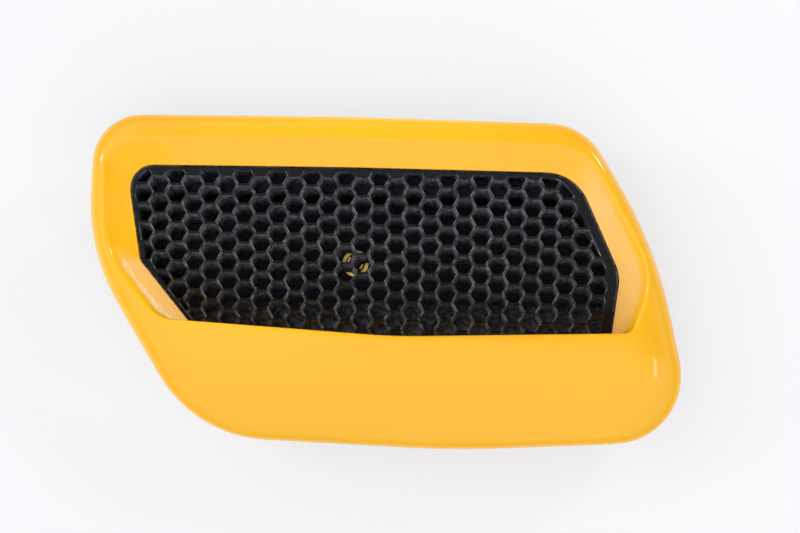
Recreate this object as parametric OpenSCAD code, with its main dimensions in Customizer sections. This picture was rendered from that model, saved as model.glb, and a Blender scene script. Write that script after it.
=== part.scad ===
// Bonnet grille: a painted bezel around a recessed honeycomb insert, closed behind by a
// rain tray. It lies on its back. +X runs along the grille, +Y points up its face and
// +Z points out of the bonnet. The tray's floor stands on z = 0.

/* [Bezel] */
// Overall length of the painted bezel
bezel_length = 331.5; // [321:0.5:341]
// Overall height of the painted bezel
bezel_height = 184; // [178:0.5:190]
// Height of the bezel's outer edge above the tray's floor, at the middle
edge_z = 43; // [41:0.5:45]
// How much higher the edge lies at the top of the face than at its middle
edge_rise = 2; // [0:0.5:3]
// Height of the crest above the tray's floor, at the top of the recess
crest_z = 54; // [52:0.5:57]
// How much higher the crest lies along the bottom lip than along the top
lip_rise = 2; // [1:0.5:4]
// Radius of the face's long crown
crown_radius = 5000; // [4000:250:9000]
// Moulded wall thickness of the bezel
bezel_wall = 2.8; // [2.4:0.1:3.2]
// Depth of the skirt below the bezel's outer edge
skirt_depth = 7; // [5:0.5:9]
// Draft of the skirt at its lower end
skirt_draft = 0.4; // [0:0.1:0.8]
// Length of the rounding on each side of the crest
crest_rounding = 2.6; // [1.5:0.1:4]
// Share of a quarter round that the rolled face follows
roll_share = 0.65; // [0.5:0.05:0.9]

/* [Recess and opening] */
// Distance from the bezel's left end to the opening at the foot of the recess
left_margin = 23; // [22:0.5:26]
// Distance from the bezel's right end to the opening
right_margin = 33; // [31:0.5:36]
// Distance from the bezel's top edge to the opening
top_margin = 29.1; // [28:0.1:31]
// Distance from the bezel's bottom edge to the opening: the height of the lower panel
bottom_margin = 56.8; // [54:0.1:60]
// Width of the sloped band along the top of the recess
top_band = 16.4; // [14:0.1:18]
// Width of the sloped band at the left of the recess
left_band = 15; // [13:0.5:17]
// Width of the wall at the right of the recess
right_band = 16.5; // [14:0.5:18]
// How far the bottom lip overhangs the opening
lip_overhang = 5; // [3:0.5:7]
// Step from the foot of the recess down to the honeycomb
reveal = 0.8; // [0.4:0.1:1.5]

/* [Honeycomb insert] */
// Distance across the flats from cell to cell
cell_pitch = 11; // [10:0.25:13]
// Thickness of the walls between the cells
cell_wall = 1.1; // [0.8:0.1:1.6]
// Row pitch as a share of the regular one, as the cells are mapped on the sloping face
row_squeeze = 0.884; // [0.8:0.01:1]
// Height of the honeycomb's face above the tray's floor, at the bottom of the opening
face_foot_z = 19.7; // [19.4:0.1:21]
// Height of the honeycomb's face above the tray's floor, at the top of the opening
face_head_z = 47.9; // [45:0.1:49]
// Shift of the cell pattern from the opening's middle, along X
pattern_shift_x = -7.6; // [-12:0.1:-4]
// Shift of the cell pattern from the opening's middle, along Y
pattern_shift_y = 7.6; // [4:0.1:10]
// Lean of the cells towards +Y, measured from +Z
cell_lean = 12; // [8:0.5:13]
// Depth of the honeycomb, measured along Z
cell_depth = 15.6; // [12:0.2:16]
// Width of the plain rim around the cells, at the top and the left
rim = 1.5; // [1.4:0.1:2.4]
// Width of the plain rim at the right
rim_right = 5.5; // [4:0.5:8]
// Gap between the insert and the bezel's opening
insert_gap = 0.6; // [0.3:0.1:0.8]
// Thickness of the insert's skirt
insert_skirt = 1.5; // [1.3:0.1:2]

/* [Flanges and rain tray] */
// Height of the joint between the insert's flange and the tray's flange
joint_z = 16.5; // [16:0.1:17]
// Thickness of the insert's flange and of the tray's flange
flange = 2.5; // [2:0.1:2.8]
// Width of both flanges, measured out from the opening
flange_width = 9; // [8:0.5:10]
// Thickness of the tray's walls and floor
tray_wall = 2; // [1.6:0.1:2.4]
// Gap between the insert's cells and the tray's wall
tray_gap = 0.6; // [0.5:0.1:1]
// Width of the raised shelf along the tray's top side
shelf_width = 13.5; // [12:0.5:18]
// Height of the raised shelf
shelf_z = 29; // [26:0.5:30]
// Radius of the drain holes in the tray's floor
drain_r = 4; // [3:0.25:5]

/* [Fixings] */
// Radius of the shank of the insert screws
screw_r = 2; // [1.5:0.1:2.5]
// Length of the insert screws under the head
screw_length = 17; // [14:0.5:20]
// Radius of the head of the insert screws
screw_head_r = 4; // [3.5:0.1:4.5]
// Height of the head of the insert screws
screw_head_h = 2.6; // [2:0.1:3]
// Distance from the opening to the insert screws
screw_offset = 13.5; // [13.5:0.5:15]
// Running clearance of the screws in the ears, and of the foam around the tray
clearance = 0.3; // [0.2:0.05:0.4]
// Radius of the bosses behind the bezel
boss_r = 4.5; // [4:0.1:5]
// Radius of the ears around the screws
ear_r = 5.5; // [5:0.1:6]
// Radius of the pilot holes for the bonnet screws
bonnet_hole_r = 2.1; // [1.8:0.1:2.4]
// Depth of the pilot holes for the bonnet screws
bonnet_hole_depth = 11.5; // [10:0.5:13]
// Height at which the upper bonnet bosses end
bonnet_top_z = 37; // [36:0.5:38]
// Height at which the lower bonnet bosses end
bonnet_bottom_z = 34; // [33:0.5:35]
// Radius of the locating pegs
peg_r = 3; // [2.5:0.1:3.5]
// Length of the locating pegs below their collars
peg_length = 10; // [8:0.5:12]
// Width of the blades that carry the spring clips
blade_width = 12; // [10:0.5:14]
// Thickness of the blades
blade_thickness = 2.5; // [2.2:0.1:3]
// Height at which the blades end
blade_end_z = 23; // [22:0.5:25]
// Thickness of the spring clips' sheet steel
clip_sheet = 0.8; // [0.6:0.1:1]
// Width of the spring clips
clip_width = 9; // [8:0.5:10]
// Height of the spring clips' legs
clip_height = 12; // [10:0.5:13]
// How far the spring clips' barbs stand out
clip_barb = 3; // [2:0.25:3.5]
// Width of the foam seal under the tray's flange
foam_width = 5.5; // [4:0.25:6]
// Thickness of the foam seal
foam_thickness = 4; // [3:0.25:5]

/* [Centre spring nut] */
// Shift of the spring nut from the opening's middle, along X
nut_shift_x = -12.7; // [-18:0.1:-8]
// Shift of the spring nut from the opening's middle, along Y
nut_shift_y = -1.7; // [-7:0.1:3]
// Radius of the spring nut
nut_r = 7.6; // [7:0.1:8.5]
// Radius at which the spring nut's teeth begin
nut_root_r = 5.2; // [4.8:0.1:5.6]
// Rise of the spring nut's teeth
nut_rise = 1.6; // [1:0.1:2]
// Thickness of the spring nut's sheet steel
nut_sheet = 0.9; // [0.7:0.1:1.1]
// Width of the slots between the spring nut's teeth
nut_slot = 1.3; // [0.8:0.1:1.8]
// Gap between the spring nut and the post that carries it
nut_gap = 0.1; // [0.05:0.05:0.2]
// Radius of the neck of the tray's post
post_r = 3.6; // [3.2:0.1:4]
// Radius of the shoulder of the tray's post
post_shoulder_r = 6.2; // [5.8:0.1:6.8]
// Height of the shoulder of the tray's post
post_z = 10.5; // [9:0.5:11]

/* [Hidden] */
$fn = 48;
eps = 0.01;
big = 400;

half_l = bezel_length / 2;
half_h = bezel_height / 2;
open_l = -half_l + left_margin;
open_r = half_l - right_margin;
open_t = half_h - top_margin;
open_b = -half_h + bottom_margin;
opening_length = open_r - open_l;
opening_height = open_t - open_b;
opening_x = (open_l + open_r) / 2;
opening_y = (open_t + open_b) / 2;
face_slope = atan((face_head_z - face_foot_z) / opening_height);
pattern_x = opening_x + pattern_shift_x;
pattern_y = opening_y + pattern_shift_y;
nut_x = opening_x + nut_shift_x;
nut_y = opening_y + nut_shift_y;

// Corners of the three lines of the face, clockwise from the top left: x, y and radius.
// The crest and the opening have the same eight corners, so that the recess can be lofted.
outer_corners = [
    [-half_l + 1.2, half_h + 0.1, 27.5], [-22, half_h, 1200],
    [half_l - 55.6, half_h - 2.4, 34.5], [half_l - 15, 22.5, 242],
    [half_l + 9.1, -half_h + 6.6, 38], [40, -half_h - 0.7, 600],
    [-half_l + 61.5, -half_h + 4.6, 73], [-half_l - 0.8, 14.5, 113]];
crest_corners = [
    [open_l - left_band, open_t + top_band - 1, 17], [-22, open_t + top_band, 1400],
    [open_r - 21.5, open_t + top_band - 1.5, 31], [open_r + right_band, 4.8, 38],
    [open_r + 4, open_b + lip_overhang + 4, 6], [7, open_b + lip_overhang, 375],
    [open_l + 18.5, open_b + lip_overhang + 8, 19], [open_l - left_band + 3, 12.8, 56]];
opening_corners = [
    [open_l - 1.7, open_t, 13.5], [-21, open_t, 2000],
    [open_r - 27.4, open_t - 1.5, 26], [open_r - 0.5, 6.3, 22.5],
    [open_r - 4.8, open_b + 1, 6.5], [0, open_b, 380],
    [open_l + 38, open_b + 3.8, 3], [open_l + 4.5, 10.7, 6]];
corner_steps = 8;
side_steps = [5, 5, 5, 5, 7, 11, 6, 5];

function unit(v) = v / norm(v);
function lerp(a, b, s) = a + (b - a) * s;
function xy(p) = [p[0], p[1]];

// A corner's arc: corner_steps + 1 points from the side that arrives to the side that leaves.
function corner_arc(before, at, after, r) =
    let (u = unit(before - at), v = unit(after - at),
        half = acos(u * v) / 2,
        centre = at + unit(u + v) * r / sin(half),
        first = at + u * r / tan(half) - centre,
        turn = 180 - 2 * half)
    [for (k = [0 : corner_steps])
        let (a = -turn * k / corner_steps)
        centre + [first[0] * cos(a) - first[1] * sin(a),
            first[0] * sin(a) + first[1] * cos(a)]];

// A closed line through rounded corners, with the given points inside each straight.
function rounded(corners, steps) =
    let (n = len(corners),
        arcs = [for (i = [0 : n - 1])
            corner_arc(xy(corners[(i + n - 1) % n]), xy(corners[i]),
                xy(corners[(i + 1) % n]), corners[i][2])])
    [for (i = [0 : n - 1]) each concat(arcs[i],
        [for (k = [1 : 1 : steps[i]])
            lerp(arcs[i][corner_steps], arcs[(i + 1) % n][0], k / (steps[i] + 1))])];

// Outward normals of a clockwise line, and the line moved outwards by a distance.
function normals(line) =
    let (n = len(line))
    [for (i = [0 : n - 1])
        let (t = unit(line[(i + 1) % n] - line[(i + n - 1) % n])) [-t[1], t[0]]];
function moved_out(line, distance) =
    let (nrm = normals(line))
    [for (i = [0 : len(line) - 1]) line[i] + nrm[i] * distance];

// Where a line is met by a ray from a point inside it.
function cross_z(a, b) = a[0] * b[1] - a[1] * b[0];
function met_by(line, p, d) =
    let (n = len(line), hits = [for (i = [0 : n - 1])
        let (a = line[i], e = line[(i + 1) % n] - a, k = cross_z(d, e),
            t = cross_z(a - p, e) / k, s = cross_z(a - p, d) / k)
        if (t > 0 && s >= 0 && s <= 1) t])
    p + d * min(hits);

crest_line = rounded(crest_corners, side_steps);
opening_line = rounded(opening_corners, side_steps);
crest_normals = normals(crest_line);
opening_normals = normals(opening_line);
stations = len(crest_line);
// The outer edge, with each of its points straight out from the crest.
outer_outline = rounded(outer_corners, [for (i = [0 : 7]) 0]);
outer_line = [for (i = [0 : stations - 1])
    met_by(outer_outline, crest_line[i], crest_normals[i])];
outer_normals = normals(outer_line);

// Heights of the face: the crowned outer edge, the crest and the honeycomb's sloping plane.
function crown(p) = p[0] * p[0] / (2 * crown_radius);
function edge_height(p) = edge_z + edge_rise * p[1] / half_h - crown(p);
crest_span = top_band + opening_height - lip_overhang;
function crest_height(p) =
    crest_z + lip_rise * (open_t + top_band - p[1]) / crest_span - crown(p);
function mesh_height(y) = face_foot_z + (y - open_b) * tan(face_slope);
face_z = mesh_height(pattern_y);

// The rolled face between the outer edge (s = 0) and the crest (s = 1) at a station.
function roll(s) = sqrt(1 - pow(1 - roll_share * s, 2)) / sqrt(1 - pow(1 - roll_share, 2));
function face_point(i, s) =
    let (o = outer_line[i], c = crest_line[i], p = lerp(o, c, s))
    [p[0], p[1], lerp(edge_height(o), crest_height(c), roll(s))];

// The same face at a depth t below its surface.
function recess_angle(i) =
    let (c = crest_line[i], m = opening_line[i])
    atan2(crest_height(c) - mesh_height(m[1]) - reveal, (c - m) * crest_normals[i]);
function crest_below(i, t) =
    let (p = crest_line[i] + crest_normals[i] * t * tan(recess_angle(i) / 2))
    [p[0], p[1], crest_height(crest_line[i]) - t];
function face_below(i, s, t) =
    let (o = outer_line[i] - outer_normals[i] * t, c = crest_below(i, t),
        p = lerp(o, xy(c), s))
    [p[0], p[1], lerp(edge_height(outer_line[i]), c[2], roll(s))];

// The recess wall from the crest down to the opening.
function crest_point(i) =
    [crest_line[i][0], crest_line[i][1], crest_height(crest_line[i])];
function opening_point(i) =
    [opening_line[i][0], opening_line[i][1], mesh_height(opening_line[i][1]) + reveal];
function opening_below(i, t) =
    let (a = recess_angle(i), m = opening_line[i] + opening_normals[i] * t * sin(a))
    [m[0], m[1], opening_point(i)[2] - t * cos(a)];
function crest_round(i, u) =
    let (c = crest_point(i), w = norm(crest_line[i] - outer_line[i]),
        m = opening_point(i), d = norm(m - c),
        a = face_point(i, 1 - min(crest_rounding / w, 0.35)),
        b = lerp(c, m, min(crest_rounding / d, 0.35)))
    lerp(lerp(a, c, u), lerp(c, b, u), u);
function foot_share(i) = min(crest_rounding / norm(opening_point(i) - crest_point(i)), 0.35);
function roll_limit(i) =
    1 - min(crest_rounding / norm(crest_line[i] - outer_line[i]), 0.35);

// Section of the bezel at a station: up the skirt, over the face, down the recess and back
// along the inside.
roll_steps = [0, 0.02, 0.06, 0.12, 0.21, 0.34, 0.52, 0.76, 1];
inner_steps = [0.85, 0.55, 0.3, 0.12, 0.03];
edge_land = 1.5;
function section(i) = concat(
    [concat(outer_line[i] - outer_normals[i] * skirt_draft,
        edge_height(outer_line[i]) - skirt_depth),
     concat(outer_line[i], edge_height(outer_line[i]) - edge_land)],
    [for (s = roll_steps) face_point(i, s * roll_limit(i))],
    [for (u = [0.25, 0.5, 0.75, 1]) crest_round(i, u)],
    [for (v = [0.35, 0.7, 1])
        lerp(crest_point(i), opening_point(i), lerp(foot_share(i), 1, v))],
    [opening_below(i, bezel_wall),
     lerp(opening_below(i, bezel_wall), crest_below(i, bezel_wall), 0.5),
     crest_below(i, bezel_wall)],
    [for (s = inner_steps) face_below(i, s, bezel_wall)],
    [concat(outer_line[i] - outer_normals[i] * bezel_wall,
        edge_height(outer_line[i]) - edge_land),
     concat(outer_line[i] - outer_normals[i] * (bezel_wall + skirt_draft),
        edge_height(outer_line[i]) - skirt_depth)]);

module loft_ring(rings) {
    n = len(rings);
    m = len(rings[0]);
    polyhedron(
        points = [for (ring = rings) each ring],
        faces = [for (i = [0 : n - 1], j = [0 : m - 1])
            let (a = i * m + j, b = ((i + 1) % n) * m + j,
                c = ((i + 1) % n) * m + (j + 1) % m, d = i * m + (j + 1) % m)
            each [[a, b, c], [a, c, d]]]);
}

// Places of the screws, bosses, blades and pegs.
insert_screws = [
    [open_l + 42, open_t + screw_offset], [opening_x, open_t + screw_offset],
    [open_r - 45, open_t + screw_offset], [open_r - 30, open_b - screw_offset],
    [opening_x + 10, open_b - screw_offset], [open_l + 55, open_b - screw_offset]];
bonnet_top = [[-60, half_h - 8], [60, half_h - 8]];
bonnet_bottom = [[-60, -half_h + 22], [90, -half_h + 22]];
blades = [[-36, half_h - 9.5], [32, half_h - 9.5], [55, -half_h + 24], [-25, -half_h + 24]];
pegs = [[half_l - 41, -half_h + 26], [-half_l + 68, -half_h + 30]];
flange_top = joint_z + flange;
flange_bottom = joint_z - flange;

// Everything behind the painted face, from half a wall below it.
module behind_face() {
    t = bezel_wall / 2;
    loft_ring([for (i = [0 : stations - 1]) concat(
        [concat(outer_line[i] - outer_normals[i] * (t + skirt_draft), blade_end_z - 20),
         concat(outer_line[i] - outer_normals[i] * t, edge_height(outer_line[i]) - edge_land)],
        [for (s = [0.03, 0.12, 0.3, 0.55, 0.85]) face_below(i, s, t)],
        [crest_below(i, t), opening_below(i, t),
         concat(opening_line[i] + opening_normals[i] * t, blade_end_z - 20)])]);
}

module post(at, r, bottom) {
    translate([at[0], at[1], bottom]) cylinder(r = r, h = crest_z + lip_rise - bottom);
}

module blade(at) {
    translate([at[0] - blade_width / 2, at[1] - blade_thickness / 2, blade_end_z])
        cube([blade_width, blade_thickness, crest_z + lip_rise - blade_end_z]);
}

module pilot_hole(at, r, bottom, depth) {
    translate([at[0], at[1], bottom - 1]) cylinder(r = r, h = depth + 1);
}

module bezel() {
    color("#ffb52a") difference() {
        union() {
            loft_ring([for (i = [0 : stations - 1]) section(i)]);
            intersection() {
                union() {
                    for (at = insert_screws) post(at, boss_r, flange_top);
                    for (at = bonnet_top) post(at, boss_r, bonnet_top_z);
                    for (at = bonnet_bottom) post(at, boss_r, bonnet_bottom_z);
                    for (at = pegs) {
                        post(at, peg_r + 1.5, bonnet_bottom_z);
                        post(at, peg_r, bonnet_bottom_z - peg_length);
                    }
                    for (at = blades) blade(at);
                }
                behind_face();
            }
        }
        for (at = insert_screws) pilot_hole(at, screw_r, flange_top, screw_length - flange);
        for (at = bonnet_top) pilot_hole(at, bonnet_hole_r, bonnet_top_z, bonnet_hole_depth);
        for (at = bonnet_bottom)
            pilot_hole(at, bonnet_hole_r, bonnet_bottom_z, bonnet_hole_depth);
    }
}

// The opening's outline moved out (or in, when negative), as a flat shape.
module opening_shape(distance) {
    polygon(moved_out(opening_line, distance));
}

// Direction of the cells and the plane that cuts them.
column_step = cell_pitch * sqrt(3) / 2;
row_step = cell_pitch * row_squeeze;
columns = ceil(opening_length / column_step / 2) + 2;
rows = ceil(opening_height / row_step / 2) + 2;
cell_r = (cell_pitch - cell_wall) / sqrt(3);

// One hexagonal cell in the pattern's plane, squeezed along the rows.
module cell() {
    polygon([for (k = [0 : 5]) [cell_r * cos(60 * k), cell_r * sin(60 * k) * row_squeeze]]);
}

module slope_block(below) {
    // Everything between the honeycomb's face and a parallel plane below it.
    translate([0, pattern_y, face_z]) rotate([face_slope, 0, 0])
        translate([-big / 2, -big / 2, -below * cos(face_slope)])
            cube([big, big, below * cos(face_slope)]);
}

module cell_field() {
    // The cells lean towards +Y and pass through the pattern's origin.
    translate([pattern_x, pattern_y, face_z]) rotate([-cell_lean, 0, 0])
        translate([0, 0, -2 * cell_depth]) linear_extrude(4 * cell_depth)
            for (i = [-columns : columns], j = [-rows : rows])
                if (shows(i, j)) translate(cell_place(i, j)) cell();
}
function cell_place(i, j) =
    [i * column_step, (j + (i % 2 == 0 ? 0 : 0.5)) * row_step];

// Centre of a cell where it meets the face, in the plan of the part.
function cell_on_face(i, j) =
    let (q = cell_place(i, j),
        t = q[1] * cos(face_slope) / cos(cell_lean + face_slope))
    [pattern_x + q[0], pattern_y + t];
// A cell is left out where its centre falls well inside the rim.
cell_line = [for (i = [0 : stations - 1])
    opening_line[i] - opening_normals[i] * (rim + insert_gap)
        - [max(0, opening_normals[i][0]) * (rim_right - rim), 0]];
function inside(p, line) =
    let (n = len(line))
    min([for (i = [0 : n - 1])
        let (a = line[i], b = line[(i + 1) % n], t = unit(b - a))
        (p - a) * [t[1], -t[0]]]);
function shows(i, j) = inside(cell_on_face(i, j), cell_line) > -0.22 * cell_pitch;

module honeycomb_insert() {
    color("#17181a") difference() {
        union() {
            intersection() {
                linear_extrude(big) opening_shape(-insert_gap);
                slope_block(cell_depth);
            }
            skirt_ring();
            insert_flange();
        }
        intersection() {
            cell_field();
            linear_extrude(big) polygon(cell_line);
        }
        screw_holes(joint_z - 1, flange + 2);
    }
}

// Wall around the cells, from the sloping face down to the flange.
module skirt_ring() {
    intersection() {
        translate([0, 0, joint_z]) linear_extrude(big) difference() {
            opening_shape(-insert_gap);
            opening_shape(-insert_gap - insert_skirt);
        }
        slope_block(big / 2);
    }
}

module insert_flange() {
    translate([0, 0, joint_z]) linear_extrude(flange) difference() {
        union() {
            opening_shape(flange_width);
            ears();
        }
        opening_shape(-insert_gap - insert_skirt);
    }
}

// Ears reach from the flange out to the screws.
module ears() {
    for (at = insert_screws) {
        inner_y = at[1] > 0 ? at[1] - screw_offset : at[1];
        translate(at) circle(r = ear_r);
        translate([at[0] - ear_r, inner_y]) square([2 * ear_r, screw_offset]);
    }
}

module screw_holes(z, h) {
    for (at = insert_screws)
        translate([at[0], at[1], z]) cylinder(r = screw_r + clearance, h = h);
}

module rain_tray() {
    shelf_y = open_t - shelf_width;
    color("#1d1e20") difference() {
        union() {
            linear_extrude(joint_z) opening_shape(tray_gap + tray_wall);
            translate([0, 0, flange_bottom]) linear_extrude(flange) union() {
                opening_shape(flange_width);
                ears();
            }
            linear_extrude(shelf_z) shelf_shape(shelf_y, 0);
        }
        translate([0, 0, tray_wall]) linear_extrude(big) difference() {
            opening_shape(tray_gap);
            translate([-big / 2, shelf_y]) square([big, big]);
        }
        translate([0, 0, -1]) linear_extrude(shelf_z - tray_wall + 1)
            shelf_shape(shelf_y + tray_wall, -tray_wall);
        translate([0, 0, -1]) linear_extrude(joint_z - tray_wall + 1) intersection() {
            opening_shape(tray_gap);
            translate([-big / 2, shelf_y + tray_wall]) square([big, big]);
        }
        screw_holes(flange_bottom - 1, flange + 2);
        for (x = [open_l + 45, open_r - 25])
            translate([x, open_b + 14, -1]) cylinder(r = drain_r, h = tray_wall + 2);
    }
    color("#1d1e20") nut_post();
}

// Plan of the raised shelf, inside the insert's skirt.
module shelf_shape(from_y, distance) {
    intersection() {
        opening_shape(-insert_gap - insert_skirt - tray_gap + distance);
        translate([-big / 2, from_y]) square([big, big]);
    }
}

// Stepped post in the tray's middle that carries the spring nut.
module nut_post() {
    neck_z = post_z + nut_gap + nut_rise + nut_sheet + 1;
    translate([nut_x, nut_y, tray_wall - eps]) {
        cylinder(r = post_shoulder_r, h = post_z - tray_wall + eps);
        cylinder(r = post_r, h = neck_z - tray_wall);
        translate([0, 0, neck_z - tray_wall - eps]) cylinder(r1 = post_r, r2 = post_r - 1, h = 1);
    }
}

module foam_seal() {
    inner = tray_gap + tray_wall + clearance;
    color("#2a2b2c") translate([0, 0, flange_bottom - foam_thickness])
        linear_extrude(foam_thickness) difference() {
            opening_shape(inner + foam_width);
            opening_shape(inner);
        }
}

// Push-on nut of yellow-passivated spring steel: a flat rim and teeth that grip the post.
module centre_spring_nut() {
    height = nut_rise + nut_sheet;
    color("#d8a92c") translate([nut_x, nut_y, post_z + nut_gap]) difference() {
        union() {
            cylinder(r = nut_r, h = nut_sheet);
            cylinder(r1 = nut_root_r + nut_sheet, r2 = post_r + nut_gap + nut_sheet, h = height);
        }
        translate([0, 0, -eps])
            cylinder(r1 = nut_root_r, r2 = post_r + nut_gap, h = height + 2 * eps);
        for (a = [0 : 60 : 300]) rotate(a) translate([0, -nut_slot / 2, -1])
            cube([nut_root_r + nut_sheet / 2, nut_slot, height + 2]);
    }
}

// Pan-head self-tapping screw with a cross recess, driven from behind.
module insert_screw(k) {
    at = insert_screws[k];
    color("#3c3f42") translate([at[0], at[1], flange_bottom]) difference() {
        union() {
            cylinder(r = screw_r - 0.05, h = screw_length);
            translate([0, 0, -screw_head_h]) cylinder(r = screw_head_r, h = screw_head_h);
        }
        for (a = [0, 90]) rotate(a)
            translate([-screw_head_r * 0.55, -0.5, -screw_head_h - 1])
                cube([screw_head_r * 1.1, 1, screw_head_h * 0.6 + 1]);
    }
}

// Spring clip bent from sheet steel over the end of a blade, with a barb on each side.
module spring_clip(k) {
    at = blades[k];
    half = blade_thickness / 2;
    low = -clip_sheet;
    side = [[half, 0], [half, clip_height], [half + clip_sheet, clip_height],
        [half + clip_sheet, clip_height * 0.85], [half + clip_barb, clip_height * 0.6],
        [half + clip_barb - clip_sheet, clip_height * 0.55],
        [half + clip_sheet, clip_height * 0.4], [half + clip_sheet, low]];
    color("#8e9194") translate([at[0], at[1], blade_end_z]) rotate([90, 0, 90])
        translate([0, 0, -clip_width / 2]) linear_extrude(clip_width)
            polygon(concat(side, [for (i = [len(side) - 1 : -1 : 0]) [-side[i][0], side[i][1]]]));
}

bezel();
honeycomb_insert();
rain_tray();
foam_seal();
centre_spring_nut();
insert_screw(0);  // insert_screw_1
insert_screw(1);  // insert_screw_2
insert_screw(2);  // insert_screw_3
insert_screw(3);  // insert_screw_4
insert_screw(4);  // insert_screw_5
insert_screw(5);  // insert_screw_6
spring_clip(0);  // spring_clip_1
spring_clip(1);  // spring_clip_2
spring_clip(2);  // spring_clip_3
spring_clip(3);  // spring_clip_4
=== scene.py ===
"""A car's bonnet grille: a painted bezel with a deep lower lip, a black honeycomb insert let
into its recess, and behind them a rain tray, a foam seal, screws and spring clips."""

import math

import bmesh
import bpy
from mathutils import Matrix, Vector
from mathutils.bvhtree import BVHTree


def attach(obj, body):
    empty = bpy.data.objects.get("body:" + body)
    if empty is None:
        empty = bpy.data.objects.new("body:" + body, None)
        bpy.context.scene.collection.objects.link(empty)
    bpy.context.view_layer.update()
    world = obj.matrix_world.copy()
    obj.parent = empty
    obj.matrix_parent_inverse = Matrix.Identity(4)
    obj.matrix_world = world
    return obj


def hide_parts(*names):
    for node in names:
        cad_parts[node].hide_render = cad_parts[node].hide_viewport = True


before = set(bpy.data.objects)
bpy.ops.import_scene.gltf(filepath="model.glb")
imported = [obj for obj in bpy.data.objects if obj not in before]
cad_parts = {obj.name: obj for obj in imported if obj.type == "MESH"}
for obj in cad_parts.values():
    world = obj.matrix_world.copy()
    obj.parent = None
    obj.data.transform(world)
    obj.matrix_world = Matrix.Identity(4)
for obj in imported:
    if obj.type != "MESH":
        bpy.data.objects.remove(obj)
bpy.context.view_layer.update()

# Camera
# The photograph looks down on the grille's face from a little below its middle, with a
# short telephoto lens.
CAMERA_PLACE = (0.0329, -0.0497, 0.8821)
CAMERA_TURN_DEG = (4.0, 1.56, 1.01)
LENS_MM = 68.0
SENSOR_MM = 36.0

camera_data = bpy.data.cameras.new("camera")
camera_data.lens = LENS_MM
camera_data.sensor_width = SENSOR_MM
camera = bpy.data.objects.new("camera", camera_data)
camera.location = CAMERA_PLACE
camera.rotation_euler = [math.radians(turn) for turn in CAMERA_TURN_DEG]
bpy.context.scene.collection.objects.link(camera)
bpy.context.scene.camera = camera
bpy.context.scene.view_settings.view_transform = "Standard"

# Table and light
# The grille lies on a white laminate table in a light tent, whose cloth is darker beyond the
# upper right and near the table. Small softboxes give the glints, wide lamps fill the
# shade, and two snooted lamps lift the walls of the recess.


def linear(hex_colour):
    """An sRGB hex colour as linear RGBA."""
    channels = [int(hex_colour[k:k + 2], 16) / 255 for k in (1, 3, 5)]
    return [channel / 12.92 if channel <= 0.04045 else ((channel + 0.055) / 1.055) ** 2.4
            for channel in channels] + [1.0]


def node(tree, kind, settings=None, inputs=None):
    """Adds a node with its settings, and with its inputs set or linked."""
    added = tree.nodes.new(kind)
    for name, value in (settings or {}).items():
        setattr(added, name, value)
    for name, value in (inputs or {}).items():
        if isinstance(value, bpy.types.NodeSocket):
            tree.links.new(value, added.inputs[name])
        else:
            added.inputs[name].default_value = value
    return added


def reckon(tree, operation, *values):
    """The result of a maths node on sockets and numbers."""
    return node(tree, "ShaderNodeMath", {"operation": operation},
                dict(enumerate(values))).outputs[0]


def remap(tree, value, starts, ends, curve="LINEAR"):
    """A value moved from one range to another, along a straight line or a smooth curve."""
    return node(tree, "ShaderNodeMapRange", {"interpolation_type": curve},
                {"Value": value, "From Min": starts[0], "From Max": starts[1],
                 "To Min": ends[0], "To Max": ends[1]}).outputs["Result"]


def new_material(name):
    """An empty node material, its tree and its output node."""
    material = bpy.data.materials.new(name)
    material.use_nodes = True
    material.node_tree.nodes.clear()
    return material, material.node_tree, node(material.node_tree, "ShaderNodeOutputMaterial")


def add_object(name, mesh_builder):
    """Turns a bmesh into an object in the scene."""
    mesh = bpy.data.meshes.new(name)
    mesh_builder.to_mesh(mesh)
    mesh_builder.free()
    piece = bpy.data.objects.new(name, mesh)
    bpy.context.scene.collection.objects.link(piece)
    return piece


# The table's side and its drop below the tray's floor, in metres, and how much of its
# white the lens sees as a plain glow.
TABLE_SIZE = 6.0
TABLE_DROP = 0.0002
TABLE_GLOW_SHARE = 0.6


def white_laminate():
    """Matt white laminate, which the lens shows as plain white with a soft shadow."""
    material, tree, output = new_material("white_laminate")
    path = node(tree, "ShaderNodeLightPath")
    seen = reckon(tree, "MAXIMUM", path.outputs["Is Camera Ray"], path.outputs["Is Glossy Ray"])
    matt = node(tree, "ShaderNodeBsdfDiffuse", None, {"Color": linear("#f4f6f8")})
    glow = node(tree, "ShaderNodeEmission", None,
                {"Color": linear("#fbfcfe"), "Strength": 1.0})
    mix = node(tree, "ShaderNodeMixShader", None,
               {0: reckon(tree, "MULTIPLY", seen, TABLE_GLOW_SHARE),
                1: matt.outputs[0], 2: glow.outputs[0]})
    tree.links.new(mix.outputs[0], output.inputs["Surface"])
    return material


table_mesh = bmesh.new()
bmesh.ops.create_grid(table_mesh, x_segments=1, y_segments=1, size=TABLE_SIZE / 2)
bmesh.ops.translate(table_mesh, verts=table_mesh.verts, vec=(0, 0, -TABLE_DROP))
table = add_object("table", table_mesh)
table.data.materials.append(white_laminate())

# The cloth glows evenly, but for a dim patch round one direction, with its edge and core
# given as cosines, and a dim skirt up to a height given as a sine.
TENT_GAP = (0.38, 0.47, 0.8)
GAP_EDGE, GAP_CORE = 0.72, 0.86
CLOTH_GLOW, GAP_GLOW = 1.2, 0.2
TENT_SKIRT_TOP, TENT_SKIRT_SHARE = 0.75, 0.15

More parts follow.
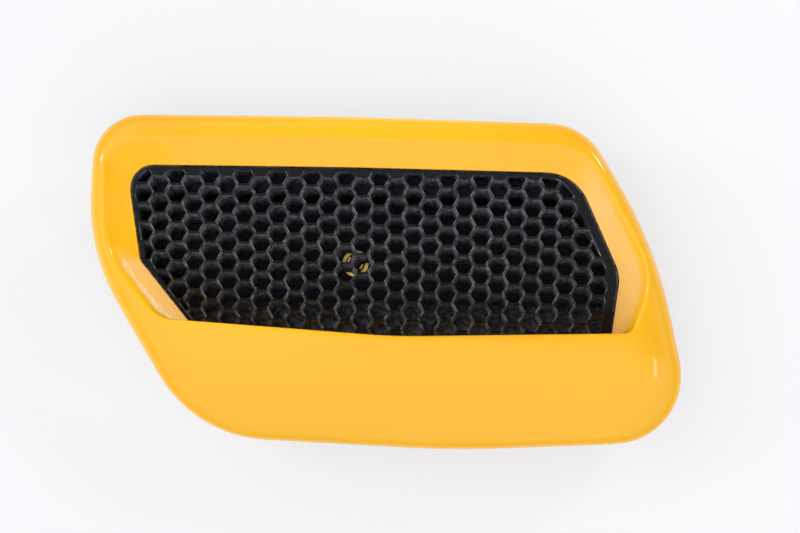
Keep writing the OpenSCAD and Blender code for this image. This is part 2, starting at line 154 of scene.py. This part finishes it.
world = bpy.data.worlds.new("light_tent")
world.use_nodes = True
bpy.context.scene.world = world
world_tree = world.node_tree
tent = world_tree.nodes["Background"]
tent.inputs["Color"].default_value = linear("#fbfbfd")
way = node(world_tree, "ShaderNodeTexCoord").outputs["Generated"]
towards_gap = node(world_tree, "ShaderNodeVectorMath", {"operation": "DOT_PRODUCT"},
                   {0: way, 1: TENT_GAP}).outputs["Value"]
upwards = node(world_tree, "ShaderNodeSeparateXYZ", None, {"Vector": way}).outputs["Z"]
cloth = remap(world_tree, towards_gap, (GAP_EDGE, GAP_CORE), (CLOTH_GLOW, GAP_GLOW),
              "SMOOTHSTEP")
low_cloth = remap(world_tree, upwards, (0.0, TENT_SKIRT_TOP), (TENT_SKIRT_SHARE, 1.0),
                  "SMOOTHSTEP")
world_tree.links.new(reckon(world_tree, "MULTIPLY", cloth, low_cloth),
                     tent.inputs["Strength"])

# The lamps' places and sizes are in metres, their spreads in degrees and powers in watts.
RIGHT_STAND = (0.86, 0.86, 0.46)
LEFT_STAND = (-1.1, 0.1, 0.45)
SNOOT_RADIUS = 0.08


def hang_lamp(name, kind, place, target, power, mirrored):
    """A lamp at a place that points at a target, and shows in the gloss if mirrored."""
    lamp_data = bpy.data.lights.new(name, kind)
    lamp_data.energy = power
    lamp = bpy.data.objects.new(name, lamp_data)
    lamp.location = place
    lamp.rotation_euler = (Vector(target) - Vector(place)).to_track_quat("-Z", "Y").to_euler()
    lamp.visible_glossy = mirrored
    bpy.context.scene.collection.objects.link(lamp)
    return lamp_data


def softbox(name, place, width, height, power, mirrored):
    """A rectangular soft lamp that faces the grille."""
    lamp_data = hang_lamp(name, "AREA", place, (0, 0, 0), power, mirrored)
    lamp_data.shape = "RECTANGLE"
    lamp_data.size = width
    lamp_data.size_y = height


def snooted_lamp(name, place, target, spread_deg, power):
    """A narrow soft-edged lamp that lifts one side of the recess."""
    lamp_data = hang_lamp(name, "SPOT", place, target, power, False)
    lamp_data.spot_size = math.radians(spread_deg)
    lamp_data.spot_blend = 1.0
    lamp_data.shadow_soft_size = SNOOT_RADIUS


softbox("softbox_right", (0.86, 0.68, 0.66), 0.2, 0.12, 2.6, True)
softbox("softbox_left", (-1.0, 0.35, 0.8), 0.12, 0.5, 1.4, True)
softbox("softbox_low_right", (0.75, -0.24, 0.95), 0.16, 0.08, 0.16, True)
softbox("bounce_right", RIGHT_STAND, 0.6, 0.5, 2.0, False)
softbox("bounce_left", LEFT_STAND, 0.6, 0.5, 2.2, False)
softbox("bounce_low", (0.5, -0.9, 0.5), 0.6, 0.5, 1.6, False)
snooted_lamp("snoot_right", RIGHT_STAND, (-0.12, -0.018, 0.04), 6, 80)
snooted_lamp("snoot_left", LEFT_STAND, (0.142, 0.0, 0.04), 8, 24)

# Bezel
# One moulding in a tough plastic, painted in the body colour with a clear coat. Its rolled
# face runs from the edge over a crest and down into the recess, with bosses moulded behind.

# Lengths are in millimetres, MM in metres, with the values of the solid's source.
MM = 0.001
BEZEL_LENGTH = 331.5
BEZEL_HEIGHT = 184.0
EDGE_Z, EDGE_RISE = 43.0, 2.0
CREST_Z, LIP_RISE = 54.0, 2.0
CROWN_RADIUS = 5000.0
WALL = 2.8
SKIRT_DEPTH, SKIRT_DRAFT = 7.0, 0.4
CREST_ROUNDING = 2.6
ROLL_SHARE = 0.65
LEFT_MARGIN, RIGHT_MARGIN, TOP_MARGIN, BOTTOM_MARGIN = 23.0, 33.0, 29.1, 56.8
TOP_BAND, LEFT_BAND, RIGHT_BAND = 16.4, 15.0, 16.5
LIP_OVERHANG = 5.0
REVEAL = 0.8
FACE_FOOT_Z, FACE_HEAD_Z = 19.7, 47.9
EDGE_LAND = 1.5

HALF_L, HALF_H = BEZEL_LENGTH / 2, BEZEL_HEIGHT / 2
OPEN_L, OPEN_R = -HALF_L + LEFT_MARGIN, HALF_L - RIGHT_MARGIN
OPEN_T, OPEN_B = HALF_H - TOP_MARGIN, -HALF_H + BOTTOM_MARGIN
OPENING_X = (OPEN_L + OPEN_R) / 2

# Corners of the three lines of the face, clockwise from the top left: x, y and radius.
OUTER_CORNERS = (
    (-HALF_L + 1.2, HALF_H + 0.1, 27.5), (-22, HALF_H, 1200),
    (HALF_L - 55.6, HALF_H - 2.4, 34.5), (HALF_L - 15, 22.5, 242),
    (HALF_L + 9.1, -HALF_H + 6.6, 38), (40, -HALF_H - 0.7, 600),
    (-HALF_L + 61.5, -HALF_H + 4.6, 73), (-HALF_L - 0.8, 14.5, 113))
CREST_CORNERS = (
    (OPEN_L - LEFT_BAND, OPEN_T + TOP_BAND - 1, 17), (-22, OPEN_T + TOP_BAND, 1400),
    (OPEN_R - 21.5, OPEN_T + TOP_BAND - 1.5, 31), (OPEN_R + RIGHT_BAND, 4.8, 38),
    (OPEN_R + 4, OPEN_B + LIP_OVERHANG + 4, 6), (7, OPEN_B + LIP_OVERHANG, 375),
    (OPEN_L + 18.5, OPEN_B + LIP_OVERHANG + 8, 19), (OPEN_L - LEFT_BAND + 3, 12.8, 56))
OPENING_CORNERS = (
    (OPEN_L - 1.7, OPEN_T, 13.5), (-21, OPEN_T, 2000),
    (OPEN_R - 27.4, OPEN_T - 1.5, 26), (OPEN_R - 0.5, 6.3, 22.5),
    (OPEN_R - 4.8, OPEN_B + 1, 6.5), (0, OPEN_B, 380),
    (OPEN_L + 38, OPEN_B + 3.8, 3), (OPEN_L + 4.5, 10.7, 6))

# Steps round each corner, points inside the straight after each corner, and the least
# cross product at which two directions still cross.
CORNER_STEPS = 14
SIDE_STEPS = (9, 9, 9, 9, 12, 18, 11, 9)
LEAST_CROSSING = 1e-9


def corner_arc(before, corner, after, radius):
    """Points of the arc that rounds a corner, from the arriving side to the leaving one."""
    toward_before = (before - corner).normalized()
    toward_after = (after - corner).normalized()
    half = toward_before.angle(toward_after) / 2
    centre = corner + (toward_before + toward_after).normalized() * radius / math.sin(half)
    first = corner + toward_before * radius / math.tan(half) - centre
    turn = math.pi - 2 * half
    return [centre + Matrix.Rotation(-turn * k / CORNER_STEPS, 2) @ first
            for k in range(CORNER_STEPS + 1)]


def rounded(corners, side_steps):
    """A closed line through rounded corners, with points inside each straight."""
    places = [Vector(corner[:2]) for corner in corners]
    arcs = [corner_arc(places[k - 1], places[k], places[(k + 1) % len(places)], corner[2])
            for k, corner in enumerate(corners)]
    line = []
    for k, arc in enumerate(arcs):
        line += arc
        next_start = arcs[(k + 1) % len(arcs)][0]
        steps = side_steps[k]
        line += [arc[-1].lerp(next_start, j / (steps + 1)) for j in range(1, steps + 1)]
    return line


def normals_of(line):
    """Outward normals of a clockwise line."""
    tangents = [(line[(k + 1) % len(line)] - line[k - 1]).normalized()
                for k in range(len(line))]
    return [Vector((-tangent.y, tangent.x)) for tangent in tangents]


def met_by(line, start, direction):
    """Where a ray from inside a line meets it."""
    nearest = math.inf
    for k, corner in enumerate(line):
        side = line[(k + 1) % len(line)] - corner
        across = direction.cross(side)
        if abs(across) < LEAST_CROSSING:
            continue
        along = (corner - start).cross(side) / across
        share = (corner - start).cross(direction) / across
        if along > 0 and 0 <= share <= 1:
            nearest = min(nearest, along)
    return start + direction * nearest


crest_line = rounded(CREST_CORNERS, SIDE_STEPS)
opening_line = rounded(OPENING_CORNERS, SIDE_STEPS)
crest_out = normals_of(crest_line)
opening_out = normals_of(opening_line)
outer_outline = rounded(OUTER_CORNERS, [0] * len(OUTER_CORNERS))
outer_line = [met_by(outer_outline, place, out) for place, out in zip(crest_line, crest_out)]
outer_out = normals_of(outer_line)
STATIONS = len(crest_line)


def crown(place):
    """How far the bonnet's bend lowers a place: nothing at the middle, most at the ends."""
    return place.x ** 2 / (2 * CROWN_RADIUS)


def edge_height(place):
    """Height of the face's outer edge."""
    return EDGE_Z + EDGE_RISE * place.y / HALF_H - crown(place)


def crest_height(place):
    """Height of the crest, which rises from the top to the lower lip."""
    span = TOP_BAND + OPEN_T - OPEN_B - LIP_OVERHANG
    return CREST_Z + LIP_RISE * (OPEN_T + TOP_BAND - place.y) / span - crown(place)


def mesh_height(y):
    """Height of the honeycomb's sloping face, which rises from the bottom to the top."""
    return FACE_FOOT_Z + (FACE_HEAD_Z - FACE_FOOT_Z) * (y - OPEN_B) / (OPEN_T - OPEN_B)


def at_height(place, z):
    """A flat place lifted to a height."""
    return Vector((place.x, place.y, z))


def roll(share):
    """Rise of the rolled face from its edge (0) to its crest (1)."""
    return (math.sqrt(1 - (1 - ROLL_SHARE * share) ** 2)
            / math.sqrt(1 - (1 - ROLL_SHARE) ** 2))


def face_point(station, share, depth=0.0):
    """A point of the rolled face, or of a parallel one below it."""
    outer = outer_line[station] - outer_out[station] * depth
    crest = crest_below(station, depth)
    low = edge_height(outer_line[station])
    return at_height(outer.lerp(crest.xy, share), low + (crest.z - low) * roll(share))


def recess_angle(station):
    """Slope of the recess wall at a station, in radians."""
    drop = crest_height(crest_line[station]) - mesh_height(opening_line[station].y) - REVEAL
    return math.atan2(drop, (crest_line[station] - opening_line[station]).dot(crest_out[station]))


def crest_below(station, depth):
    """Where face and recess wall meet at a station, on surfaces moved in by the depth."""
    place = crest_line[station] + crest_out[station] * depth * math.tan(recess_angle(station) / 2)
    return at_height(place, crest_height(crest_line[station]) - depth)


def opening_below(station, depth):
    """The foot of the recess wall at a station, or the point behind it at a depth."""
    angle = recess_angle(station)
    place = opening_line[station] + opening_out[station] * depth * math.sin(angle)
    z = mesh_height(opening_line[station].y) + REVEAL
    return at_height(place, z - depth * math.cos(angle))


# Where a section has its points: shares of the way up the face, round the crest, down the
# recess wall and back along the inside of the face.
FACE_SHARES = (0, 0.015, 0.045, 0.09, 0.15, 0.23, 0.34, 0.48, 0.64, 0.8, 0.92, 1)
CREST_SHARES = (0.2, 0.4, 0.6, 0.8, 1)
WALL_SHARES = (0.25, 0.5, 0.75)
INSIDE_SHARES = (0.85, 0.6, 0.35, 0.15, 0.04)

# The most that the crest's rounding takes of the face or the wall, the steps in and up
# that round the skirt's foot, the depth of its middle, and the roundings of inner edges.
MOST_ROUNDING = 0.35
SKIRT_FOOT = ((0.8, 0), (0.2, 0.05), (0, 0.5))
SKIRT_MIDDLE = 4.0
SKIRT_INNER_EDGE = 0.4
FOOT_ROUNDING = 0.6
FOOT_CUT = FOOT_ROUNDING / 4
BACK_EDGE_UP, BACK_EDGE_IN = 0.3, 0.4


def bezel_section(station):
    """The bezel's closed section at a station: skirt, face, crest, recess and inside."""
    outer, out = outer_line[station], outer_out[station]
    edge_z = edge_height(outer)
    skirt_z = edge_z - SKIRT_DEPTH
    crest, foot = crest_below(station, 0), opening_below(station, 0)
    foot_back = opening_below(station, WALL)
    crest_back = crest_below(station, WALL)
    down = (foot - crest).normalized()
    back = (foot_back - foot).normalized()
    face_end = 1 - min(CREST_ROUNDING / (crest.xy - outer).length, MOST_ROUNDING)
    face_stop = face_point(station, face_end)
    wall_start = crest + down * min(CREST_ROUNDING, MOST_ROUNDING * (foot - crest).length)
    section = [at_height(outer - out * (SKIRT_DRAFT + inward), skirt_z + up)
               for inward, up in SKIRT_FOOT]
    section += [at_height(outer - out * SKIRT_DRAFT / 2, edge_z - SKIRT_MIDDLE),
                at_height(outer, edge_z - EDGE_LAND)]
    section += [face_point(station, share * face_end) for share in FACE_SHARES]
    section += [face_stop.lerp(crest, share).lerp(crest.lerp(wall_start, share), share)
                for share in CREST_SHARES]
    section += [wall_start.lerp(foot, share) for share in WALL_SHARES]
    section += [foot - down * FOOT_ROUNDING, foot - down * FOOT_CUT + back * FOOT_CUT,
                foot + back * FOOT_ROUNDING, foot_back - back * BACK_EDGE_UP,
                foot_back - down * BACK_EDGE_IN, foot_back.lerp(crest_back, 0.5), crest_back]
    section += [face_point(station, share, WALL) for share in INSIDE_SHARES]
    inner = WALL + SKIRT_DRAFT
    section += [at_height(outer - out * WALL, edge_z - EDGE_LAND),
                at_height(outer - out * inner, skirt_z + SKIRT_INNER_EDGE),
                at_height(outer - out * (inner - SKIRT_INNER_EDGE), skirt_z)]
    return section


# Where a painted sheen, a dull clear coat and painted highlights begin and are full: the
# crest's x and y, and the distance in from the crest.
SHEEN_LEFT_X, SHEEN_LEFT_Y, SHEEN_RIGHT_X = (-100, -130), (24, 4), (106, 128)
SHEEN_INSIDE = (0.5, 5)
DULL_X = (-118, -135)
DULL_INSIDE = (0.5, 4)
HIGHLIGHT_X, HIGHLIGHT_Y = (-128, -130), (14, 8)
HIGHLIGHT_INSIDE, HIGHLIGHT_END = (1.8, 3), (5.5, 4)
BRIGHT_HIGHLIGHT_Y = (-5, -25)


def ramp(value, start, end):
    """A smooth rise from 0 at the start to 1 at the end."""
    share = min(max((value - start) / (end - start), 0), 1)
    return share * share * (3 - 2 * share)


def inside_crest(station, point):
    """How far a point of a section lies in from the crest."""
    return (crest_line[station] - point.xy).dot(crest_out[station])


def painted_sheen_share(station, point):
    """How strongly a paler colour paints sheen on the recess wall: at the lower left and right.
    """
    place = crest_line[station]
    lower_left = ramp(place.x, *SHEEN_LEFT_X) * ramp(place.y, *SHEEN_LEFT_Y)
    right = ramp(place.x, *SHEEN_RIGHT_X)
    return ramp(inside_crest(station, point), *SHEEN_INSIDE) * max(lower_left, right)


def dull_share(station, point):
    """Where the clear coat is left dull: on the steep wall at the left of the recess."""
    return ramp(inside_crest(station, point), *DULL_INSIDE) * ramp(crest_line[station].x, *DULL_X)


def painted_highlight_share(station, point):
    """Where white specks paint highlights: under the crest at the lower left."""
    place = crest_line[station]
    inside = inside_crest(station, point)
    band = ramp(inside, *HIGHLIGHT_INSIDE) * ramp(inside, *HIGHLIGHT_END)
    highlight_gain = 0.5 + 0.5 * ramp(place.y, *BRIGHT_HIGHLIGHT_Y)
    return band * highlight_gain * ramp(place.x, *HIGHLIGHT_X) * ramp(place.y, *HIGHLIGHT_Y)


# A grid is wrapped round both ways: its X counts the stations and its Y the points of a
# section, and the doubled vertices at its seams are merged.
SEAM_DISTANCE = 1e-6
SECTIONS = [bezel_section(station) for station in range(STATIONS)]
SECTION_POINTS = len(SECTIONS[0])
bezel_mesh = bmesh.new()
painted_sheen_layer = bezel_mesh.verts.layers.float.new("painted_sheen")
painted_highlight_layer = bezel_mesh.verts.layers.float.new("painted_highlight")
dull_layer = bezel_mesh.verts.layers.float.new("dull")
bmesh.ops.create_grid(bezel_mesh, x_segments=STATIONS, y_segments=SECTION_POINTS, size=1)
for vertex in bezel_mesh.verts:
    station = round((vertex.co.x + 1) / 2 * STATIONS) % STATIONS
    point = round((vertex.co.y + 1) / 2 * SECTION_POINTS) % SECTION_POINTS
    target = SECTIONS[station][point]
    # The first two layers mark where a paler colour paints sheen and white specks paint
    # highlights.
    vertex[painted_sheen_layer] = painted_sheen_share(station, target)
    vertex[painted_highlight_layer] = painted_highlight_share(station, target)
    vertex[dull_layer] = dull_share(station, target)
    vertex.co = target * MM
bmesh.ops.remove_doubles(bezel_mesh, verts=bezel_mesh.verts, dist=SEAM_DISTANCE)
bmesh.ops.recalc_face_normals(bezel_mesh, faces=bezel_mesh.faces)
for face in bezel_mesh.faces:
    face.smooth = True
shell_tree = BVHTree.FromBMesh(bezel_mesh)

# Places and sizes of the bosses, pegs and blades, as in the solid. A stub is a peg or a
# blade before its top is raised into the shell.
SCREW_OFFSET = 13.5
INSERT_SCREWS = (
    (OPEN_L + 42, OPEN_T + SCREW_OFFSET), (OPENING_X, OPEN_T + SCREW_OFFSET),
    (OPEN_R - 45, OPEN_T + SCREW_OFFSET), (OPEN_R - 30, OPEN_B - SCREW_OFFSET),
    (OPENING_X + 10, OPEN_B - SCREW_OFFSET), (OPEN_L + 55, OPEN_B - SCREW_OFFSET))
BONNET_TOP = ((-60, HALF_H - 8), (60, HALF_H - 8))
BONNET_BOTTOM = ((-60, -HALF_H + 22), (90, -HALF_H + 22))
BLADES = ((-36, HALF_H - 9.5), (32, HALF_H - 9.5), (55, -HALF_H + 24), (-25, -HALF_H + 24))
PEGS = ((HALF_L - 41, -HALF_H + 26), (-HALF_L + 68, -HALF_H + 30))
FLANGE_TOP, BONNET_TOP_Z, BONNET_BOTTOM_Z = 19.0, 37.0, 34.0
BOSS_R, PEG_R, PEG_SHOULDER, PEG_LENGTH = 4.5, 3.0, 1.5, 10.0
SCREW_R, SCREW_LENGTH, BONNET_HOLE_R, BONNET_HOLE_DEPTH = 2.0, 17.0, 2.1, 11.5
BLADE_WIDTH, BLADE_THICKNESS, BLADE_END_Z = 12.0, 2.5, 23.0
FLANGE = 2.5
STUB_HEIGHT = 2.0
ROUND_SEGMENTS = 32


def sink_into_shell(vertices):
    """Raises each vertex until it is half a wall inside the shell above it."""
    for vertex in vertices:
        hit = shell_tree.ray_cast(vertex.co, Vector((0, 0, 1)))[0]
        vertex.co.z = hit.z + WALL / 2 * MM


def extrude_rim(builder, edges):
    """Extrudes an open rim and returns its new vertices and edges."""
    grown = bmesh.ops.extrude_edge_only(builder, edges=edges)["geom"]
    return ([part for part in grown if isinstance(part, bmesh.types.BMVert)],
            [part for part in grown if isinstance(part, bmesh.types.BMEdge)])


def add_boss(builder, place, radius, bottom, hole_r, hole_depth):
    """A round boss with a blind pilot hole from below, grown up into the shell."""
    centre = Vector((place[0] * MM, place[1] * MM, bottom * MM))
    circle = bmesh.ops.create_circle(
        builder, cap_ends=True, segments=ROUND_SEGMENTS, radius=hole_r * MM,
        matrix=Matrix.Translation(centre + Vector((0, 0, hole_depth * MM))))["verts"]
    edges = list({edge for vertex in circle for edge in vertex.link_edges})
    vertices, edges = extrude_rim(builder, edges)
    bmesh.ops.translate(builder, verts=vertices, vec=(0, 0, -hole_depth * MM))
    vertices, edges = extrude_rim(builder, edges)
    bmesh.ops.scale(builder, verts=vertices, vec=(radius / hole_r, radius / hole_r, 1),
                    space=Matrix.Translation(-centre))
    vertices, edges = extrude_rim(builder, edges)
    sink_into_shell(vertices)
    bmesh.ops.holes_fill(builder, edges=edges)


def add_pin(builder, place, radius, bottom):
    """A solid round post, grown up into the shell."""
    middle = (bottom + STUB_HEIGHT / 2) * MM
    post = bmesh.ops.create_cone(
        builder, cap_ends=True, segments=ROUND_SEGMENTS, radius1=radius * MM,
        radius2=radius * MM, depth=STUB_HEIGHT * MM,
        matrix=Matrix.Translation((place[0] * MM, place[1] * MM, middle)))["verts"]
    sink_into_shell([vertex for vertex in post if vertex.co.z > middle])


def add_blade(builder, place):
    """A flat blade that carries a spring clip, grown up into the shell."""
    middle = (BLADE_END_Z + STUB_HEIGHT / 2) * MM
    blade = bmesh.ops.create_cube(builder, size=MM)["verts"]
    bmesh.ops.scale(builder, verts=blade, vec=(BLADE_WIDTH, BLADE_THICKNESS, STUB_HEIGHT))
    bmesh.ops.translate(builder, verts=blade, vec=(place[0] * MM, place[1] * MM, middle))
    sink_into_shell([vertex for vertex in blade if vertex.co.z > middle])


bosses_mesh = bmesh.new()
for place in INSERT_SCREWS:
    add_boss(bosses_mesh, place, BOSS_R, FLANGE_TOP, SCREW_R, SCREW_LENGTH - FLANGE)
for place in BONNET_TOP:
    add_boss(bosses_mesh, place, BOSS_R, BONNET_TOP_Z, BONNET_HOLE_R, BONNET_HOLE_DEPTH)
for place in BONNET_BOTTOM:
    add_boss(bosses_mesh, place, BOSS_R, BONNET_BOTTOM_Z, BONNET_HOLE_R, BONNET_HOLE_DEPTH)
for place in PEGS:
    add_pin(bosses_mesh, place, PEG_R + PEG_SHOULDER, BONNET_BOTTOM_Z)
    add_pin(bosses_mesh, place, PEG_R, BONNET_BOTTOM_Z - PEG_LENGTH)
for place in BLADES:
    add_blade(bosses_mesh, place)
bmesh.ops.recalc_face_normals(bosses_mesh, faces=bosses_mesh.faces)


def noise(tree, grain_mm, detail):
    """Noise over the piece's own space, with its grain in millimetres."""
    place = node(tree, "ShaderNodeTexCoord").outputs["Object"]
    return node(tree, "ShaderNodeTexNoise", None,
                {"Vector": place, "Scale": 1 / (grain_mm * MM),
                 "Detail": detail}).outputs["Fac"]


def attribute(tree, name):
    """A value stored at the mesh's vertices."""
    return node(tree, "ShaderNodeAttribute", {"attribute_name": name}).outputs["Fac"]


def blend(tree, share, first, second):
    """A colour between two others, each a hex colour or a socket."""
    first, second = [linear(end) if isinstance(end, str) else end for end in (first, second)]
    return node(tree, "ShaderNodeMix", {"data_type": "RGBA"},
                {"Factor": share, "A": first, "B": second}).outputs["Result"]


def relief(tree, height, strength, depth_mm):
    """A surface normal that follows a height, with its depth in millimetres."""
    return node(tree, "ShaderNodeBump", None,
                {"Height": height, "Strength": strength,
                 "Distance": depth_mm * MM}).outputs["Normal"]


def coat_with(tree, output, inputs):
    """Gives the material's surface a principled shader."""
    shader = node(tree, "ShaderNodeBsdfPrincipled", None, inputs)
    tree.links.new(shader.outputs[0], output.inputs["Surface"])


def body_paint():
    """Solid yellow-orange car paint under a clear coat with slight orange peel. On the recess
    wall a paler blotchy colour paints a sheen and white specks paint highlights, and the coat
    is dull in a patch at its left."""
    material, tree, output = new_material("orange_yellow_body_paint")
    clean = blend(tree, noise(tree, 60, 2.0), "#ffba12", "#ffbe1a")
    # A paler blotchy colour paints the sheen of the recess walls.
    sheen_blotches = remap(tree, noise(tree, 4, 6.0), (0.3, 0.7), (0.6, 0.85))
    sheen_painted = blend(tree, reckon(tree, "MULTIPLY", attribute(tree, "painted_sheen"), sheen_blotches),
                   clean, "#ffcb7c")
    # White specks paint the highlights under the crest at the lower left.
    painted_highlight = attribute(tree, "painted_highlight")
    highlight_strength = reckon(tree, "MULTIPLY_ADD", painted_highlight, 0.5, noise(tree, 2.2, 3.0))
    highlight_speck = remap(tree, highlight_strength, (0.6, 0.74), (0.0, 0.95), "SMOOTHSTEP")
    highlighted = blend(tree, reckon(tree, "MULTIPLY", painted_highlight, highlight_speck), sheen_painted, "#fff3dc")
    coat = remap(tree, attribute(tree, "dull"), (0.0, 1.0), (0.88, 0.2))
    peel = relief(tree, noise(tree, 3, 1.0), 0.06, 0.05)
    coat_with(tree, output, {
        "Base Color": highlighted, "Roughness": 0.38, "Specular IOR Level": 0.15,
        "Coat Weight": coat, "Coat Roughness": 0.04, "Coat IOR": 1.5,
        "Normal": peel, "Coat Normal": peel})
    return material


paint = body_paint()
bezel_face = add_object("painted_bezel", bezel_mesh)
smoothing = bezel_face.modifiers.new("smooth", "SUBSURF")
smoothing.levels = smoothing.render_levels = 1
bezel_bosses = add_object("bezel_bosses", bosses_mesh)
for piece in (bezel_face, bezel_bosses):
    piece.data.materials.append(paint)
    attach(piece, "root")
    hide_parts("bezel")

# Honeycomb insert
# One black moulding in polypropylene: leaning hexagonal cells cut off on a slope, with a
# plain rim, held in the recess by the screws through its flange.

# The rounding of the cells' rims, the shortest edge that takes it, and how far a rounding
# faces sideways before a pale colour paints the side lamps' glints on it.
RIM_ROUNDING = 0.24
SHORT_EDGE = 1.2
GLINT_SIDEWAYS = 0.25

# Depths below the face at which dust begins and is full, how near a vertex lies to another
# or to the face to count as on it, and the angles of a flat join and a sharp one.
DUST_DEPTHS = (0.35, 1.4)
SAME_POINT = 0.01
ON_FACE = 0.02
FLAT_DEG, SHARP_DEG = 1, 20


def black_moulding():
    """Black moulded polypropylene: satin on the face, with a film of grey dust on the cells'
    walls below it."""
    material, tree, output = new_material("black_moulded_plastic")
    place = node(tree, "ShaderNodeTexCoord").outputs["Object"]
    part = node(tree, "ShaderNodeSeparateXYZ", None, {"Vector": place})
    slope = (FACE_HEAD_Z - FACE_FOOT_Z) / (OPEN_T - OPEN_B)
    level = reckon(tree, "MULTIPLY_ADD", part.outputs["Y"], slope, mesh_height(0) * MM)
    depth = reckon(tree, "SUBTRACT", level, part.outputs["Z"])
    below = remap(tree, depth, [edge * MM for edge in DUST_DEPTHS], (0.0, 1.0),
                  "SMOOTHSTEP")
    wear = noise(tree, 9, 6.0)
    clean = blend(tree, wear, "#0d0e10", "#191b1e")
    smudge = remap(tree, noise(tree, 2.5, 5.0), (0.36, 0.64), (0.0, 1.0))
    dusty = blend(tree, smudge, "#303237", "#7a7d84")
    coat_with(tree, output, {
        "Base Color": blend(tree, below, clean, dusty),
        "Roughness": remap(tree, wear, (0.35, 0.65), (0.26, 0.38)), "IOR": 1.49,
        "Specular IOR Level": 0.14, "Normal": relief(tree, noise(tree, 0.5, 3.0), 0.25, 0.05)})
    return material


def painted_glint_edge():
    """The same plastic, paler, to paint the side lamps' glints on the rims' roundings."""
    material, tree, output = new_material("black_plastic_painted_glints")
    glint = remap(tree, noise(tree, 3.5, 3.0), (0.38, 0.68), (0.0, 1.0), "SMOOTHSTEP")
    coat_with(tree, output, {
        "Base Color": blend(tree, glint, "#484b50", "#b4b8be"), "Roughness": 0.22, "IOR": 1.49})
    return material


def above_face(vertex):
    """How far a vertex lies above the honeycomb's sloping face, along Z."""
    return vertex.co.z - mesh_height(vertex.co.y / MM) * MM


insert_mesh = bmesh.new()
insert_mesh.from_mesh(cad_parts["honeycomb_insert"].data)
bmesh.ops.remove_doubles(insert_mesh, verts=insert_mesh.verts, dist=SAME_POINT * MM)
bmesh.ops.dissolve_limit(insert_mesh, angle_limit=math.radians(FLAT_DEG),
                         verts=insert_mesh.verts, edges=insert_mesh.edges)
face_edges = [edge for edge in insert_mesh.edges
              if all(abs(above_face(vertex)) < ON_FACE * MM for vertex in edge.verts)
              and edge.calc_face_angle(0) > math.radians(SHARP_DEG)]
short_ends = {vertex for edge in face_edges if edge.calc_length() < SHORT_EDGE * MM
              for vertex in edge.verts}
rim_edges = [edge for edge in face_edges if not short_ends.intersection(edge.verts)]
rounded_rims = bmesh.ops.bevel(insert_mesh, geom=rim_edges, offset=RIM_ROUNDING * MM,
                               segments=3, profile=0.5, affect="EDGES", material=-1)
insert_mesh.normal_update()
for face in rounded_rims["faces"]:
    face.smooth = True
    # Roundings that face sideways take the pale material, which paints glints.
    face.material_index = int(abs(face.normal.x) > GLINT_SIDEWAYS)
insert_piece = add_object("honeycomb", insert_mesh)
insert_piece.data.materials.append(black_moulding())
# The second material paints the glints on the sideways roundings.
insert_piece.data.materials.append(painted_glint_edge())
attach(insert_piece, "root")
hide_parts("honeycomb_insert")

# Rain tray and seal
# A black moulded tray catches the rain behind the cells, and a strip of foam under its
# flange closes against the bonnet.


def dusty_black(name, dark, dusty, roughness):
    """Matt black moulded plastic with road dust in broad soft patches."""
    material, tree, output = new_material(name)
    dust = noise(tree, 14, 8.0)
    coat_with(tree, output, {
        "Base Color": blend(tree, dust, dark, dusty), "Roughness": roughness,
        "Normal": relief(tree, dust, 0.15, 0.1)})
    return material


def dress(node_name, material):
    """Gives a CAD node's object a material."""
    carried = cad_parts[node_name]
    carried.data.materials.clear()
    carried.data.materials.append(material)


dress("rain_tray", dusty_black("black_tray_plastic", "#333337", "#4c4c52", 0.7))
dress("foam_seal", dusty_black("black_foam_rubber", "#1a1a1b", "#2b2b2b", 0.95))

# Spring nut, screws and clips
# The nut is sheet metal plated in yellow zinc, pushed over the tray's post. The screws are
# blackened steel, and the clips on the bezel's blades are plain spring steel.


def plated_steel(name, first, second, patch_mm, roughness):
    """Plated steel: a metal sheen whose tint drifts in patches."""
    material, tree, output = new_material(name)
    patch = noise(tree, patch_mm, 4.0)
    coat_with(tree, output, {
        "Base Color": blend(tree, patch, first, second), "Metallic": 1.0,
        "Roughness": roughness, "Normal": relief(tree, patch, 0.1, 0.05)})
    return material


dress("centre_spring_nut", plated_steel("yellow_zinc_plate", "#f0c23c", "#ffe69a", 3, 0.28))
black_steel = plated_steel("blackened_steel", "#2c2d30", "#45464a", 2, 0.4)
spring_steel = plated_steel("spring_steel", "#8b8e92", "#a9abad", 4, 0.35)
for k in range(len(INSERT_SCREWS)):
    dress(f"insert_screw_{k + 1}", black_steel)
for k in range(len(BLADES)):
    dress(f"spring_clip_{k + 1}", spring_steel)
